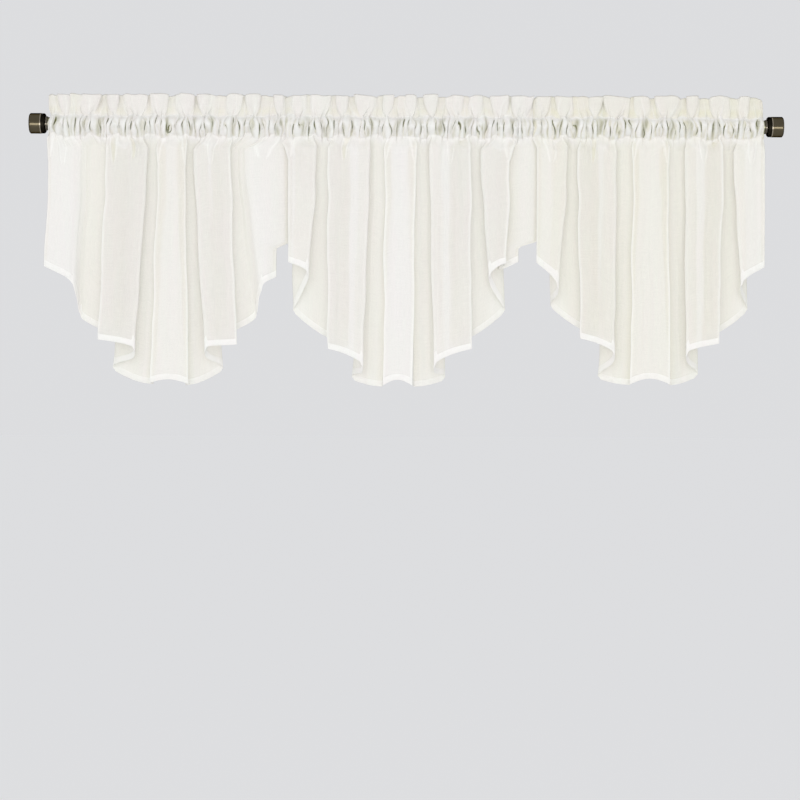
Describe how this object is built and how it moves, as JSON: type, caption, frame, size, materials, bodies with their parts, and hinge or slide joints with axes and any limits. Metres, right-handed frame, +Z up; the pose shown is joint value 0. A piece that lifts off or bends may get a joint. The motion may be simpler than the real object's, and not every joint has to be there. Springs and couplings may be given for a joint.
{
  "type": "ascot valance panels on a curtain rod",
  "caption": "Sheer voile ascot valance: gathered panels with a ruffled header and stepped pointed hems, shirred side by side on a round curtain rod with plain end caps.",
  "frame": {"origin": "on the rod's axis at mid-length, where the wall brackets hold the rod's line", "axes": "+X along the rod to the viewer's right, +Z up, -Y towards the room, +Y towards the wall"},
  "size_m": [1.5754, 0.0479, 0.6101],
  "materials": {
    "voile": "sheer ivory voile, fine plain weave, soft sheen",
    "rod_metal": "satin bronze-coated steel tube",
    "cap_metal": "dark bronze, satin, with soft highlights"
  },
  "bodies": {
    "root": {"valance_left": "voile", "valance_center": "voile", "valance_right": "voile", "rod": "rod_metal", "end_cap_left": "cap_metal", "end_cap_right": "cap_metal"}
  },
  "joints": []
}
